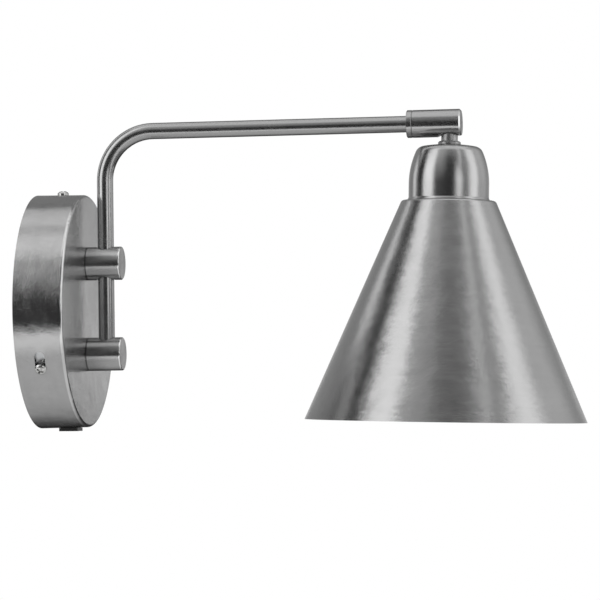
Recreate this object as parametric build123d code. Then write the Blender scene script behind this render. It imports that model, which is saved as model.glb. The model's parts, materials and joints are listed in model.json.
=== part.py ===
from build123d import *
import os
from math import atan, cos, degrees, hypot, radians, sin, sqrt, tan

# Bedside wall reading lamp, in millimetres and degrees.
# Origin: centre of the cover's wall face. +X points out of the wall, +Z up, +Y to the far side.

# ------------------------------------------------------------------ driving dimensions
# Cover on the wall
cover_radius = 71.5
cover_depth = 30.0
cover_wall = 1.0
cover_draft = 0.4            # radius lost from the wall edge to the front
cover_edge = 1.8             # rounding of the front edge

# Wall bracket inside the cover
bracket_sheet = 1.5
bracket_disc_radius = 33.0
arm_width = 16.0
tab_gap = 1.6                # from the cover's inner wall to the tab
tab_height = 20.5
tab_reach = 12.5             # screw to the tab's edge on the slot's free side
tab_foot = 4.0               # wall to where the tab widens
relief_start = 2.5           # relief cut in the tab, measured from the screw
relief_rise = 2.8
relief_slope = 0.45
relief_strip = (3.0, 5.4)    # screw to both edges of the strip cut on the wall side
relief_reach = 4.2           # screw to the relief's end on the room side
screw_depth = 14.6           # wall to the side screws' axis
screw_angles = (90.0, 210.0, 330.0)
screw_turns = (20.0, 60.0, 45.0)   # where each screw's cross recess came to rest
wall_slot_spacing = 46.0
wall_slot_length = 12.0
wall_slot_radius = 2.5
supply_hole_radius = 9.0
grommet_bore_radius = 4.5
grommet_flange = 2.0
grommet_lip = 1.5

# Side screws and the cover's slots for them
side_screw_radius = 1.75
side_screw_length = 9.0
side_head_radius = 3.5
side_head_height = 2.5
head_dome = 0.55             # domed share of a screw head's height
recess_reach = 0.62          # cross recess: shares of the head's radius and height
recess_half_width = 0.17
recess_depth = 0.7
side_slot_radius = 3.15
side_slot_travel = 7.8       # how far the cover turns on its screws

# Bosses, with their threaded stubs behind the cover's face
boss_radius = 10.2
boss_projection = 21.2
boss_edge = 0.8
upper_boss_height = 29.0
lower_boss_height = -26.5
stub_radius = 5.0
stub_length = 12.0
stub_bore_radius = 3.2
nut_chamfer = 0.45
boss_nut_flats = 14.0
boss_nut_thickness = 3.0
boss_washer_radius = 8.5
boss_washer_thickness = 0.8

# Tube: upright leg, bend, level arm
tube_radius = 5.0
tube_wall = 1.0
tube_standoff = 41.0         # wall to the upright leg's axis
tube_bend = 30.0
arm_height = 109.5
arm_reach = 213.0            # upright leg's axis to the neck's axis
tube_foot_rise = 4.6         # lower boss's axis to the tube's end

# Bushes in the bosses
bush_wall = 0.7
bush_recess = 2.3            # bush's end below the boss's crest
lower_bush_floor = 0.8
lower_bush_hole_radius = 3.4
flex_pocket_radius = 4.2
flex_pocket_depth = 3.2      # below the lower boss's axis

# Grub screw that holds the tube down
grub_radius = 2.0
grub_length = 4.8
grub_socket_radius = 1.1
grub_socket_depth = 1.5
tube_groove_depth = 0.35
tube_groove_play = 0.2

# Swivel at the end of the arm
barrel_radius = 8.4
barrel_overhang = 7.1        # neck's axis to the barrel's free end
barrel_length = 32.9         # with the gland ring
barrel_edge = 1.0
gland_edge = 0.35            # chamfers at the ring's ends and beside its seam
gland_flange = 3.3
gland_spigot = 3.5
chamber_radius = 7.1
chamber_end = 11.0           # neck's axis to the chamber's floor
swivel_washer_thickness = 1.0
swivel_nut_thickness = 3.0
swivel_nut_radius = 6.8
nut_slot_width = 1.6
nut_slot_depth = 0.6
tube_end_margin = 0.5        # tube's end past the outer washer
wave_washer_sheet = 0.5
wave_washer_height = 0.7
barrel_bore_radius = 3.2
spotface_radius = 7.0
spotface_drop = 7.4          # barrel's axis to the flat under it
flat_clearance = 2.1         # cutters for the flat reach this far under the barrel

# Neck, in the head's own leaning frame: drops are measured down from the arm's axis
head_lean = 1.6              # the shade hangs this far out of square, its mouth towards the wall
neck_radius = 5.0
neck_bore_radius = 3.5
neck_top_drop = 3.6
neck_length = 18.0
neck_washer_radius = 6.85
neck_washer_thickness = 1.8
neck_washer_bevel = 0.72
locknut_flats = 14.0
locknut_thickness = 3.0

# Cup over the lamp holder
cup_drop = 12.9
cup_height = 34.1
cup_radius = 24.25
cup_wall = 0.8
cup_corner = 5.5
cup_side_radius = 49.0
cup_side_drop = 24.1         # cup's top to where its side stands upright
cup_corner_slope = 23.5      # side's slope where the corner begins
cup_flare = 0.8              # outward flare at the cup's foot
cup_flare_height = 1.6
cup_flare_edge = 0.35

# Shade
shade_top_radius = 28.4
shade_rim_radius = 85.0
shade_height = 132.5
shade_wall = 0.8
shade_corner = 2.0
shade_hole_radius = 14.3

# Lamp holder
holder_cap_radius = 14.6
holder_cap_wall = 2.0
holder_cap_top = 4.0
holder_cap_height = 17.0
holder_cap_corner = 5.0
holder_skirt_radius = 14.0
holder_skirt_wall = 1.8
holder_skirt_length = 33.0
holder_spigot = 5.0
insert_thickness = 9.0
insert_drop = 2.5            # skirt's joint to the insert's top
insert_hole_offset = 6.0
insert_hole_radius = 1.3
insert_hole_depth = 4.0
holder_shell_radius = 7.5
holder_shell_wall = 0.4
holder_shell_length = 17.0
contact_width = 5.0
contact_length = 10.0
contact_sheet = 0.5
contact_drop = 2.0           # insert's underside to the bulb's tip
contact_step = 1.5           # centre to where the strip starts to rise
shade_ring_radius = 20.0
shade_ring_height = 8.0
shade_ring_flange = 2.0
shade_ring_hub_wall = 3.0
shade_ring_ribs = 8
rib_width = 1.6
rib_reach = 1.2              # out of the hub

# Bulb
bulb_thread_radius = 6.8
bulb_thread_pitch = 2.8
bulb_thread_depth = 0.45
bulb_thread_start = 1.0
bulb_cap_length = 21.0
bulb_cap_collar = 5.0        # plain stretch above the thread
bulb_cap_end_radius = 5.4
bulb_contact_radius = 3.0
bulb_contact_height = 1.2
bulb_insulator_height = 2.0
bulb_radius = 22.5
bulb_length = 48.0           # glass, from the cap's end
bulb_neck_radius = 8.0
bulb_wall = 1.0
bulb_flare_angle = 38.0      # from the sphere's top to where the neck flares off

# Rocker switch under the cover
switch_depth = 17.8          # wall to the switch's centre
switch_width = 11.6
switch_length = 14.6
switch_flange = 2.0
switch_corner = 0.8
switch_wing = 0.5            # snap wings under the cover's edge
switch_wing_width = 4.0
switch_wing_gap = 0.6
switch_wing_height = 6.2
switch_body_width = 10.2
switch_body_length = 13.2
switch_body_height = 13.0
switch_cutout_gap = 0.15
rocker_well_width = 8.4
rocker_well_length = 11.8
rocker_well_depth = 8.5
rocker_gap = 0.25
rocker_tilt = 7.0            # each way from level
rocker_pivot_depth = 4.0     # flange's outer face to the pivot
rocker_valley = 1.1          # flange's outer face to the rocker's middle
rocker_half_length = 5.2
rocker_thickness = 4.6
rocker_waist_half = 4.7      # half length and height where its underside starts to taper
rocker_waist_height = 1.4
rocker_foot_half = 1.6
trunnion_radius = 1.0
trunnion_length = 0.55
trunnion_gap = 0.08
switch_tab_width = 4.8
switch_tab_sheet = 0.8
switch_tab_length = 7.0
switch_tab_spacing = 7.0

# Terminal block and earth point on the bracket
terminal_pitch = 9.0
terminal_height = 16.0
terminal_depth = 13.0
terminal_centre = 46.0       # above the bracket's centre
terminal_screw_radius = 1.9
terminal_screw_sink = 1.5    # screws' heads below the block's front
terminal_entry_radius = 1.7
terminal_fix_radius = 1.5
terminal_fix_head_radius = 2.8
terminal_fix_head_height = 1.8
terminal_gap = 1.0           # grooves between the poles
terminal_gap_depth = 7.2
terminal_slot_width = 0.7
terminal_slot_depth = 0.7
earth_radius = 22.0
earth_angle = 30.0
earth_screw_radius = 2.0
earth_head_radius = 3.8
earth_head_height = 2.4
earth_tag_radius = 4.2
earth_tag_sheet = 0.8
earth_tag_length = 11.0
earth_tag_width = 3.2
earth_crimp_length = 5.0

# Wiring
lead_radius = 1.1
flex_radius = 2.2
flex_bend = 3.5
flex_stub = 5.0              # flex behind the lower boss's stub
bend_share = 0.98            # of a short run that its bend may use up

# Routes of the leads in the cover, measured from the end named
earth_lead_overlap = 2.0     # in the tag's barrel
earth_lead_fall = 10.0       # straight down from the terminal block
earth_lead_lift = 1.0        # away from the bracket where it crosses over
earth_lead_crossing = 9.0    # above its end
earth_lead_run = 6.0         # straight into the tag
earth_lead_bend = 3.0
live_lead_fall = 26.0        # above the switch tab
live_lead_turn = 12.0        # above the switch tab
live_lead_bulge = 3.0        # outwards at the turn
live_lead_run = 7.0          # straight onto the tab
live_lead_bend = 6.0
switched_lead_run = 6.0      # straight off the tab
switched_lead_rise = 14.0    # above the tab
switched_lead_set = 2.0      # towards the wall from the block's row of leads
switched_lead_lean = 1.0
switched_lead_bend = 2.5
neutral_lead_fall = 22.0     # above the flex
neutral_lead_bend = 3.5
head_flex_bend = 4.0
lead_plane = 9.0             # wall to the leads' plane
lead_insertion = 3.0         # how far a lead runs into the terminal block
core_gap = 0.1               # between two cores side by side
core_free_length = 7.0       # straight run of a core before the flex

# Clearances
running_clearance = 0.06     # radial, a shaft turning in its bore
fit_clearance = 0.05         # radial, screwed or pressed together
face_clearance = 0.1         # axial, at a turning face
body_clearance = 0.3         # free gap between pieces that move apart
least_fillet = 0.2           # inner corner of a thin wall

# ------------------------------------------------------------------ worked-out places
cover_front = cover_depth - cover_wall                  # inner face of the cover
cover_slope = cover_draft / cover_depth
head_x = tube_standoff + arm_reach
barrel_end = head_x + barrel_overhang
gland_start = barrel_end - barrel_length
barrel_start = gland_start + gland_flange
chamber_floor = head_x - chamber_end
tube_foot = lower_boss_height + tube_foot_rise
bush_radius = tube_radius + running_clearance + bush_wall
tab_radius = cover_radius - cover_draft - cover_wall - tab_gap
shade_drop = cup_drop + cup_height
cup_reach = cup_side_radius - cup_corner                # side arc's centre to the corner arc's
cup_corner_centre = (
    cup_radius - cup_side_radius + cup_reach * cos(radians(cup_corner_slope)),
    -cup_side_drop + cup_reach * sin(radians(cup_corner_slope)),
)
cup_corner_fall = -cup_corner_centre[1]
cup_corner_distance = hypot(cup_corner_centre[0], cup_corner_fall)
cup_crown = (cup_corner_distance ** 2 - cup_corner ** 2) / (2 * (cup_corner_fall - cup_corner))
cup_crown_tilt = atan(cup_corner_centre[0] / (cup_crown - cup_corner_fall))
locknut_corner = locknut_flats / sqrt(3)
locknut_seat = cup_drop + cup_crown - sqrt((cup_crown - cup_wall) ** 2 - locknut_corner ** 2)
locknut_drop = locknut_seat + fit_clearance + locknut_thickness
shade_slope = (shade_rim_radius - shade_top_radius) / shade_height
head_frame = Pos(head_x, 0, arm_height) * Rot(0, head_lean, 0)
switch_seat = -(cover_radius - cover_slope * (switch_depth - switch_width / 2))


def cover_radius_at(x):
    """Outer radius of the cover at a distance x from the wall."""
    return cover_radius - cover_slope * x


# ------------------------------------------------------------------ helpers
standing = (Align.CENTER, Align.CENTER, Align.MIN)


def along_x(shape, x=0.0, y=0.0, z=0.0):
    """Turn a shape built along +Z so that it runs along +X, and move it."""
    return Pos(x, y, z) * Rot(0, 90, 0) * shape


def rod(radius, length):
    """Cylinder that starts at the origin and runs up +Z."""
    return Cylinder(radius, length, align=standing)


def tube(outer, inner, length):
    return rod(outer, length) - rod(inner, length)


def hexagon(flats, bore, thickness):
    """Hexagon nut from the origin up +Z, with chamfered corners."""
    corner = flats / sqrt(3)
    top = corner - nut_chamfer
    crown = Cone(top + thickness, top, thickness, align=standing)
    return (extrude(RegularPolygon(corner, 6), thickness) & crown) - rod(bore, thickness)


def block(x0, x1, y0, y1, z0, z1):
    """Box between two corners."""
    return Pos((x0 + x1) / 2, (y0 + y1) / 2, (z0 + z1) / 2) * Box(x1 - x0, y1 - y0, z1 - z0)


def turned(*points):
    """Solid of revolution about Z from an outline of (radius, height) points."""
    outline = Polyline(*[(r, 0, z) for r, z in points], close=True)
    return revolve(make_face(outline), Axis.Z)


def turned_edges(edges):
    """Solid of revolution about Z from a closed run of edges in the XZ plane."""
    return revolve(make_face(edges), Axis.Z)


def end_circle(cylinder):
    """Outer circle at the free end of a cylinder built up +Z."""
    return cylinder.edges().filter_by(GeomType.CIRCLE).sort_by(Axis.Z)[-1]


def wire_run(points, radii, radius):
    """Round wire along straight runs joined by tangent arcs."""
    path = FilletPolyline(*points, radius=radii)
    section = Plane(origin=path @ 0, z_dir=path % 0) * Circle(radius)
    return sweep(section, path=path)


def at_angle(angle):
    """Frame on the cover's axis, turned so that its +Z points along the given angle."""
    return Rot(angle - 90, 0, 0)


def write(name, shape):
    """Write one node: all of a shape's solids under one name."""
    solids = shape.solids()
    export_step(solids[0] if len(solids) == 1 else Compound(children=list(solids)), f"parts/{name}.step")


# ------------------------------------------------------------------ cover
def cover_form(inset):
    """Drawn cup with rounded front edge; inset gives its inner surface."""
    back = cover_radius - inset
    front = back - cover_draft
    top = cover_depth - inset
    outline = Polygon((0, 0), (back, 0), (front, top), (0, top), align=None)
    corner = outline.vertices().sort_by_distance((front, top, 0))[0]
    rounded = fillet(corner, max(cover_edge - inset, least_fillet))
    return along_x(revolve(Plane.XZ * rounded, Axis.Z))


def side_slot():
    """Cutter for one oblong slot, its lower end on the screw."""
    middle = cover_radius_at(screw_depth)
    sketch = SlotCenterToCenter(side_slot_travel, 2 * side_slot_radius, rotation=90)
    cutter = extrude(sketch, cover_wall * 6, both=True)
    swing = degrees(side_slot_travel / 2 / middle)
    return Rot(-swing, 0, 0) * Pos(screw_depth, 0, middle) * cutter


def canopy_cover():
    cover = cover_form(0) - cover_form(cover_wall)
    for angle in screw_angles:
        cover -= at_angle(angle) * side_slot()
    stub_hole = along_x(rod(stub_radius + fit_clearance, 3 * cover_wall), cover_front - cover_wall)
    for height in (upper_boss_height, lower_boss_height):
        cover -= Pos(0, 0, height) * stub_hole
    half_width = switch_body_width / 2 + switch_cutout_gap
    half_length = switch_body_length / 2 + switch_cutout_gap
    cover -= block(
        switch_depth - half_width, switch_depth + half_width, -half_length, half_length,
        switch_seat - cover_wall, switch_seat + 3 * cover_wall,
    )
    return cover


def tab_relief():
    """Cutter for the open corner beside the tapped hole, seen through the cover's slot."""
    near, far = relief_strip
    reach_rise = relief_rise + relief_slope * (relief_reach + near)
    above = tab_reach + bracket_sheet
    outline = Polygon(
        (-far, relief_start), (relief_reach, relief_start), (relief_reach, reach_rise),
        (-near, relief_rise), (-near, above), (-far, above), align=None,
    )
    return Pos(screw_depth, 0, tab_radius) * extrude(outline, 2 * bracket_sheet, both=True)


def bracket_arm():
    """One arm along the disc with its bent-up tab and tapped hole."""
    back = tab_radius - bracket_sheet
    half = arm_width / 2
    arm = block(0, bracket_sheet, -half, half, 0, tab_radius)
    tab = block(0, tab_height, -half, half, back, tab_radius)
    tab += block(tab_foot, tab_height, 0, tab_reach, back, tab_radius)
    tapping = rod(side_screw_radius + fit_clearance, 3 * bracket_sheet)
    return arm + (tab - tab_relief() - Pos(screw_depth, 0, back - bracket_sheet) * tapping)


def wall_bracket():
    """Pressed spider: a disc on the wall and three arms with bent-up tabs."""
    bracket = along_x(rod(bracket_disc_radius, bracket_sheet))
    for angle in screw_angles:
        bracket += at_angle(angle) * bracket_arm()
    slot = extrude(SlotOverall(wall_slot_length, 2 * wall_slot_radius), bracket_sheet * 3, both=True)
    for side in (-1, 1):
        bracket -= Pos(0, side * wall_slot_spacing / 2, 0) * Rot(0, 90, 0) * Rot(0, 0, 90) * slot
    for radius, place in (
        (supply_hole_radius, (0, 0)),
        (terminal_fix_radius + fit_clearance, (terminal_pitch / 2, terminal_centre)),
        (earth_screw_radius + fit_clearance, earth_point()),
    ):
        bracket -= along_x(rod(radius, bracket_sheet), 0, *place)
    return bracket


def cable_grommet():
    """Rubber ring in the bracket's supply hole, flush with the wall side."""
    length = bracket_sheet + grommet_lip
    body = rod(supply_hole_radius - fit_clearance, length)
    lip = Pos(0, 0, bracket_sheet) * rod(supply_hole_radius + grommet_flange, grommet_lip)
    return along_x(body + lip - rod(grommet_bore_radius, length))


def cross_recess(head_radius, depth):
    """Cutter for a cross recess, sunk from the origin down -Z."""
    reach = 2 * head_radius * recess_reach
    width = 2 * head_radius * recess_half_width
    return Box(reach, width, 2 * depth) + Box(width, reach, 2 * depth)


def pan_head_screw(radius, length, head_radius, head_height):
    """Screw with its head's underside on the origin, head up +Z and shank down -Z."""
    dome = head_height * head_dome
    shoulder = (head_radius, 0, head_height - dome)
    middle = (head_radius * sin(radians(45)), 0, shoulder[2] + dome * sin(radians(45)))
    crown = (0, 0, head_height)
    side = Polyline(crown, (0, 0, 0), (head_radius, 0, 0), shoulder)
    head = turned_edges([*side.edges(), ThreePointArc(shoulder, middle, crown)])
    head -= Pos(0, 0, head_height) * cross_recess(head_radius, head_height * recess_depth)
    return head + Pos(0, 0, -length) * rod(radius, length)


def cover_screws():
    """Three screws through the cover's slots into the bracket's tabs."""
    screw = pan_head_screw(side_screw_radius, side_screw_length, side_head_radius, side_head_height)
    seat = cover_radius_at(screw_depth) + fit_clearance
    return Compound(children=[
        at_angle(angle) * Pos(screw_depth, 0, seat) * Rot(0, 0, turn) * screw
        for angle, turn in zip(screw_angles, screw_turns)
    ])


# ------------------------------------------------------------------ bosses and bushes
def boss(height):
    """Turned boss on the cover's face, with its stub through the cover."""
    body = rod(boss_radius, boss_projection)
    body = along_x(fillet(end_circle(body), boss_edge), cover_depth, 0, height)
    return body + along_x(rod(stub_radius, stub_length + cover_wall), cover_front - stub_length, 0, height)


def across_tube(radius, length, height=0.0):
    """Rod from the upright leg's axis out to the far side, at the upper boss."""
    return Pos(tube_standoff, 0, upper_boss_height) * Rot(-90, 0, 0) * Pos(0, 0, height) * rod(radius, length)


def boss_upper():
    foot = upper_boss_height - boss_radius
    hole = Pos(tube_standoff, 0, foot) * rod(bush_radius + fit_clearance, 2 * boss_radius)
    return boss(upper_boss_height) - hole - across_tube(grub_radius + fit_clearance, boss_radius)


def boss_lower():
    seat = tube_foot - face_clearance - lower_bush_floor
    top = lower_boss_height + boss_radius
    socket = Pos(tube_standoff, 0, seat) * rod(bush_radius + fit_clearance, top - seat)
    pocket_floor = lower_boss_height - flex_pocket_depth
    pocket = Pos(tube_standoff, 0, pocket_floor) * rod(flex_pocket_radius, seat - pocket_floor)
    bore_start = cover_front - stub_length
    bore = along_x(rod(stub_bore_radius, tube_standoff - bore_start), bore_start, 0, lower_boss_height)
    return boss(lower_boss_height) - (socket + pocket + bore)


def boss_washers():
    washer = tube(boss_washer_radius, stub_radius + fit_clearance, boss_washer_thickness)
    place = cover_front - boss_washer_thickness
    return Compound(children=[along_x(washer, place, 0, h) for h in (upper_boss_height, lower_boss_height)])


def boss_nuts():
    nut = hexagon(boss_nut_flats, stub_radius + fit_clearance, boss_nut_thickness)
    place = cover_front - boss_washer_thickness - boss_nut_thickness
    return Compound(children=[along_x(nut, place, 0, h) for h in (upper_boss_height, lower_boss_height)])


def upper_bush():
    length = 2 * (boss_radius - bush_recess)
    bush = tube(bush_radius, tube_radius + running_clearance, length)
    placed = Pos(tube_standoff, 0, upper_boss_height - length / 2) * bush
    return placed - across_tube(grub_radius + body_clearance, boss_radius)


def lower_bush():
    floor = tube_foot - face_clearance
    top = lower_boss_height + boss_radius - bush_recess
    bush = Pos(0, 0, floor) * tube(bush_radius, tube_radius + running_clearance, top - floor)
    base = Pos(0, 0, floor - lower_bush_floor) * tube(bush_radius, lower_bush_hole_radius, lower_bush_floor)
    return Pos(tube_standoff, 0, 0) * (bush + base)


def swing_grub_screw():
    """Nylon-tipped grub screw on the far side, in the tube's groove."""
    tip = tube_radius - tube_groove_depth + running_clearance
    socket = extrude(RegularPolygon(grub_socket_radius, 6), grub_socket_depth)
    placed = Pos(tube_standoff, 0, upper_boss_height) * Rot(-90, 0, 0)
    placed *= Pos(0, 0, tip + grub_length - grub_socket_depth)
    return across_tube(grub_radius, grub_length, tip) - placed * socket


# ------------------------------------------------------------------ rocker switch
def switch_housing():
    """Snap-in housing with a flat flange against the cover."""
    half = (switch_width / 2, switch_length / 2)
    flange = block(-half[0], half[0], -half[1], half[1], -switch_flange, 0)
    flange = fillet(flange.edges().filter_by(Axis.Z), switch_corner)
    body_half = (switch_body_width / 2, switch_body_length / 2)
    body = block(-body_half[0], body_half[0], -body_half[1], body_half[1], 0, switch_body_height)
    wing_reach = body_half[0] + switch_wing
    wing_foot = cover_wall + switch_wing_gap
    wings = block(
        -wing_reach, wing_reach, -switch_wing_width / 2, switch_wing_width / 2,
        wing_foot, wing_foot + switch_wing_height,
    )
    well = block(
        -rocker_well_width / 2, rocker_well_width / 2, -rocker_well_length / 2, rocker_well_length / 2,
        -switch_flange, rocker_well_depth - switch_flange,
    )
    pivot = Pos(0, 0, rocker_pivot_depth - switch_flange)
    reach = rocker_well_width / 2 - rocker_gap + trunnion_length + trunnion_gap
    holes = pivot * Rot(0, 90, 0) * Cylinder(trunnion_radius + trunnion_gap, 2 * reach)
    return Pos(switch_depth, 0, switch_seat) * (flange + body + wings - well - holes)


def switch_rocker():
    """Rocker with a V-shaped face, at rest tilted to one side."""
    face = rocker_pivot_depth - rocker_valley
    end_face = face + rocker_half_length * tan(radians(rocker_tilt))
    back = rocker_thickness - rocker_valley
    edge = (rocker_half_length, -end_face)
    side = [edge, (rocker_waist_half, rocker_waist_height), (rocker_foot_half, back)]
    outline = Polygon((0, -face), *side, *[(-y, z) for y, z in reversed(side)], align=None)
    half_width = rocker_well_width / 2 - rocker_gap
    paddle = extrude(Plane.YZ * outline, half_width, both=True)
    trunnions = Rot(0, 90, 0) * Cylinder(trunnion_radius, 2 * (half_width + trunnion_length))
    pivot = Pos(switch_depth, 0, switch_seat + rocker_pivot_depth - switch_flange)
    return pivot * Rot(-rocker_tilt, 0, 0) * (paddle + trunnions)


def switch_tab_top():
    return switch_seat + switch_body_height + switch_tab_length


def switch_terminals():
    half = (switch_tab_width / 2, switch_tab_sheet / 2)
    tab = block(-half[0], half[0], -half[1], half[1], 0, switch_tab_length)
    tab = Pos(switch_depth, 0, switch_seat + switch_body_height) * tab
    return Compound(children=[Pos(0, side * switch_tab_spacing / 2, 0) * tab for side in (-1, 1)])


# ------------------------------------------------------------------ terminals and wiring
def earth_point():
    """Y and Z of the earth screw on the bracket's disc."""
    return earth_radius * cos(radians(earth_angle)), earth_radius * sin(radians(earth_angle))


def terminal_block():
    """Three-pole block on the upper arm, wires in from above and below, screws to the front."""
    width = 3 * terminal_pitch
    half_height = terminal_height / 2
    body = block(0, terminal_depth, -width / 2, width / 2, -half_height, half_height)
    groove = block(
        terminal_depth - terminal_gap_depth, terminal_depth,
        -terminal_gap / 2, terminal_gap / 2, -half_height, half_height,
    )
    for side in (-1, 1):
        body -= Pos(0, side * terminal_pitch / 2, 0) * groove
    well = along_x(rod(terminal_screw_radius + fit_clearance, terminal_depth), lead_plane - bracket_sheet)
    for pole in (-1, 0, 1):
        entry = Pos(lead_plane - bracket_sheet, pole * terminal_pitch, -half_height)
        body -= entry * rod(terminal_entry_radius, terminal_height)
        for row in (-1, 1):
            body -= Pos(0, pole * terminal_pitch, row * terminal_height / 4) * well
    fixing = along_x(rod(terminal_fix_radius + fit_clearance, terminal_depth), 0, terminal_pitch / 2, 0)
    return Pos(bracket_sheet, 0, terminal_centre) * (body - fixing)


def terminal_screws():
    """Two slotted clamp screws for each pole."""
    length = bracket_sheet + terminal_depth - terminal_screw_sink - lead_plane - lead_radius
    slot = Box(terminal_slot_width, 3 * terminal_screw_radius, 2 * terminal_slot_depth)
    screw = rod(terminal_screw_radius, length) - Pos(0, 0, length) * slot
    placed = along_x(screw, lead_plane + lead_radius)
    return Compound(children=[
        Pos(0, pole * terminal_pitch, terminal_centre + row * terminal_height / 4) * placed
        for pole in (-1, 0, 1) for row in (-1, 1)
    ])


def terminal_fixing_screw():
    """Screw between two poles, through the block into the bracket's arm."""
    length = terminal_depth + bracket_sheet
    screw = pan_head_screw(terminal_fix_radius, length, terminal_fix_head_radius, terminal_fix_head_height)
    return along_x(screw, bracket_sheet + terminal_depth, terminal_pitch / 2, terminal_centre)


def earth_screw():
    length = earth_tag_sheet + bracket_sheet
    screw = pan_head_screw(earth_screw_radius, length, earth_head_radius, earth_head_height)
    return along_x(screw, bracket_sheet + earth_tag_sheet, *earth_point())


def earth_tag():
    """Ring terminal under the earth screw, its tail up towards the terminal block."""
    bore = earth_screw_radius + fit_clearance
    half = earth_tag_width / 2
    tail = block(-earth_tag_length, 0, -half, half, 0, earth_tag_sheet)
    blank = rod(earth_tag_radius, earth_tag_sheet) + tail
    crimp = tube(lead_radius + earth_tag_sheet, lead_radius + fit_clearance, earth_crimp_length)
    barrel = Pos(-earth_tag_length, 0, earth_tag_sheet + lead_radius) * Rot(0, 90, 0) * crimp
    return along_x(blank - rod(bore, earth_tag_sheet) + barrel, bracket_sheet, *earth_point())


def terminal_entry(pole):
    """Where a lead enters the terminal block's underside."""
    return Vector(lead_plane, pole * terminal_pitch, terminal_centre - terminal_height / 2 + lead_insertion)


def earth_lead():
    """From the middle pole down and across to the earth tag."""
    start = terminal_entry(0)
    y, z = earth_point()
    end = Vector(bracket_sheet + earth_tag_sheet + lead_radius, y, z + earth_tag_length - earth_lead_overlap)
    points = [
        start,
        Vector(start.X, start.Y, start.Z - earth_lead_fall),
        Vector(end.X + earth_lead_lift, (start.Y + end.Y) / 2, end.Z + earth_lead_crossing),
        Vector(end.X, end.Y, end.Z + earth_lead_run),
        end,
    ]
    return wire_run(points, earth_lead_bend, lead_radius)


def live_lead():
    """From the live pole down one side to the near switch tab."""
    start = terminal_entry(-1)
    end = Vector(switch_depth, -switch_tab_spacing / 2, switch_tab_top() + body_clearance)
    points = [
        start,
        Vector(start.X, start.Y, end.Z + live_lead_fall),
        Vector(end.X - live_lead_bulge, end.Y - live_lead_bulge, end.Z + live_lead_turn),
        Vector(end.X, end.Y, end.Z + live_lead_run),
        end,
    ]
    return wire_run(points, live_lead_bend, lead_radius)


def flex_entry(side):
    """Where a core meets the end of the flex behind the lower boss."""
    return Vector(cover_front - stub_length - flex_stub, side * (lead_radius + core_gap), lower_boss_height)


def switched_lead():
    """From the far switch tab up to the flex."""
    start = Vector(switch_depth, switch_tab_spacing / 2, switch_tab_top() + body_clearance)
    end = flex_entry(-1)
    points = [
        start,
        Vector(start.X, start.Y, start.Z + switched_lead_run),
        Vector(lead_plane - switched_lead_set, start.Y + switched_lead_lean, start.Z + switched_lead_rise),
        Vector(end.X - core_free_length, end.Y, end.Z),
        end,
    ]
    return wire_run(points, switched_lead_bend, lead_radius)


def neutral_lead():
    """From the neutral pole down the other side to the flex."""
    start = terminal_entry(1)
    end = flex_entry(1)
    points = [
        start,
        Vector(start.X, start.Y, end.Z + neutral_lead_fall),
        Vector(end.X - core_free_length, end.Y, end.Z),
        end,
    ]
    return wire_run(points, neutral_lead_bend, lead_radius)


def canopy_flex():
    """Flex through the lower boss's stub, turned up under the tube."""
    start = Vector(flex_entry(0).X, 0, lower_boss_height)
    corner = Vector(tube_standoff, 0, lower_boss_height)
    end = Vector(tube_standoff, 0, tube_foot - face_clearance)
    rise = end.Z - corner.Z
    return wire_run([start, corner, end], min(flex_bend, rise * bend_share), flex_radius)


# ------------------------------------------------------------------ arm
def arm_path(foot, tip):
    """Centre line of the tube: up from a foot height, round the bend, out to x = tip."""
    return FilletPolyline(
        (tube_standoff, 0, foot), (tube_standoff, 0, arm_height), (tip, 0, arm_height), radius=tube_bend
    )


def tube_tip():
    """Where the tube ends inside the swivel."""
    return swivel_stack_end() + tube_end_margin


def swivel_stack_start():
    return barrel_start + gland_spigot + face_clearance


def swivel_stack_end():
    return swivel_stack_start() + 2 * swivel_washer_thickness + swivel_nut_thickness


def arm_tube():
    path = arm_path(tube_foot, tube_tip())
    section = Plane(origin=path @ 0, z_dir=path % 0) * (Circle(tube_radius) - Circle(tube_radius - tube_wall))
    pipe = sweep(section, path=path)
    half = grub_radius + tube_groove_play
    groove = tube(tube_radius + tube_wall, tube_radius - tube_groove_depth, 2 * half)
    return pipe - Pos(tube_standoff, 0, upper_boss_height - half) * groove


def arm_flex():
    path = arm_path(tube_foot + body_clearance, tube_tip() - body_clearance)
    section = Plane(origin=path @ 0, z_dir=path % 0) * Circle(flex_radius)
    return sweep(section, path=path)


def swivel_nut():
    """Round slotted nut on the tube's threaded end, trapped in the barrel's chamber."""
    nut = tube(swivel_nut_radius, tube_radius + fit_clearance, swivel_nut_thickness)
    for angle in (0, 90):
        slot = Box(4 * swivel_nut_radius, nut_slot_width, 2 * nut_slot_depth)
        nut -= Pos(0, 0, swivel_nut_thickness) * Rot(0, 0, angle) * slot
    return along_x(nut, swivel_stack_start() + swivel_washer_thickness, 0, arm_height)


def friction_washers():
    """Nylon washers on both faces of the nut; the drag of the head's swivel."""
    washer = tube(swivel_nut_radius, tube_radius + fit_clearance, swivel_washer_thickness)
    first = swivel_stack_start()
    second = first + swivel_washer_thickness + swivel_nut_thickness
    return Compound(children=[along_x(washer, place, 0, arm_height) for place in (first, second)])


def wave_washer():
    """Dished spring washer between the stack and the chamber's floor."""
    inner = tube_radius + body_clearance
    outer = swivel_nut_radius
    rise = wave_washer_height
    sheet = wave_washer_sheet
    dish = turned((inner, 0), (inner + sheet / 2, 0), (outer, rise), (outer, rise + sheet),
                  (outer - sheet / 2, rise + sheet), (inner, sheet))
    return along_x(dish, swivel_stack_end() + face_clearance, 0, arm_height)


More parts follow.
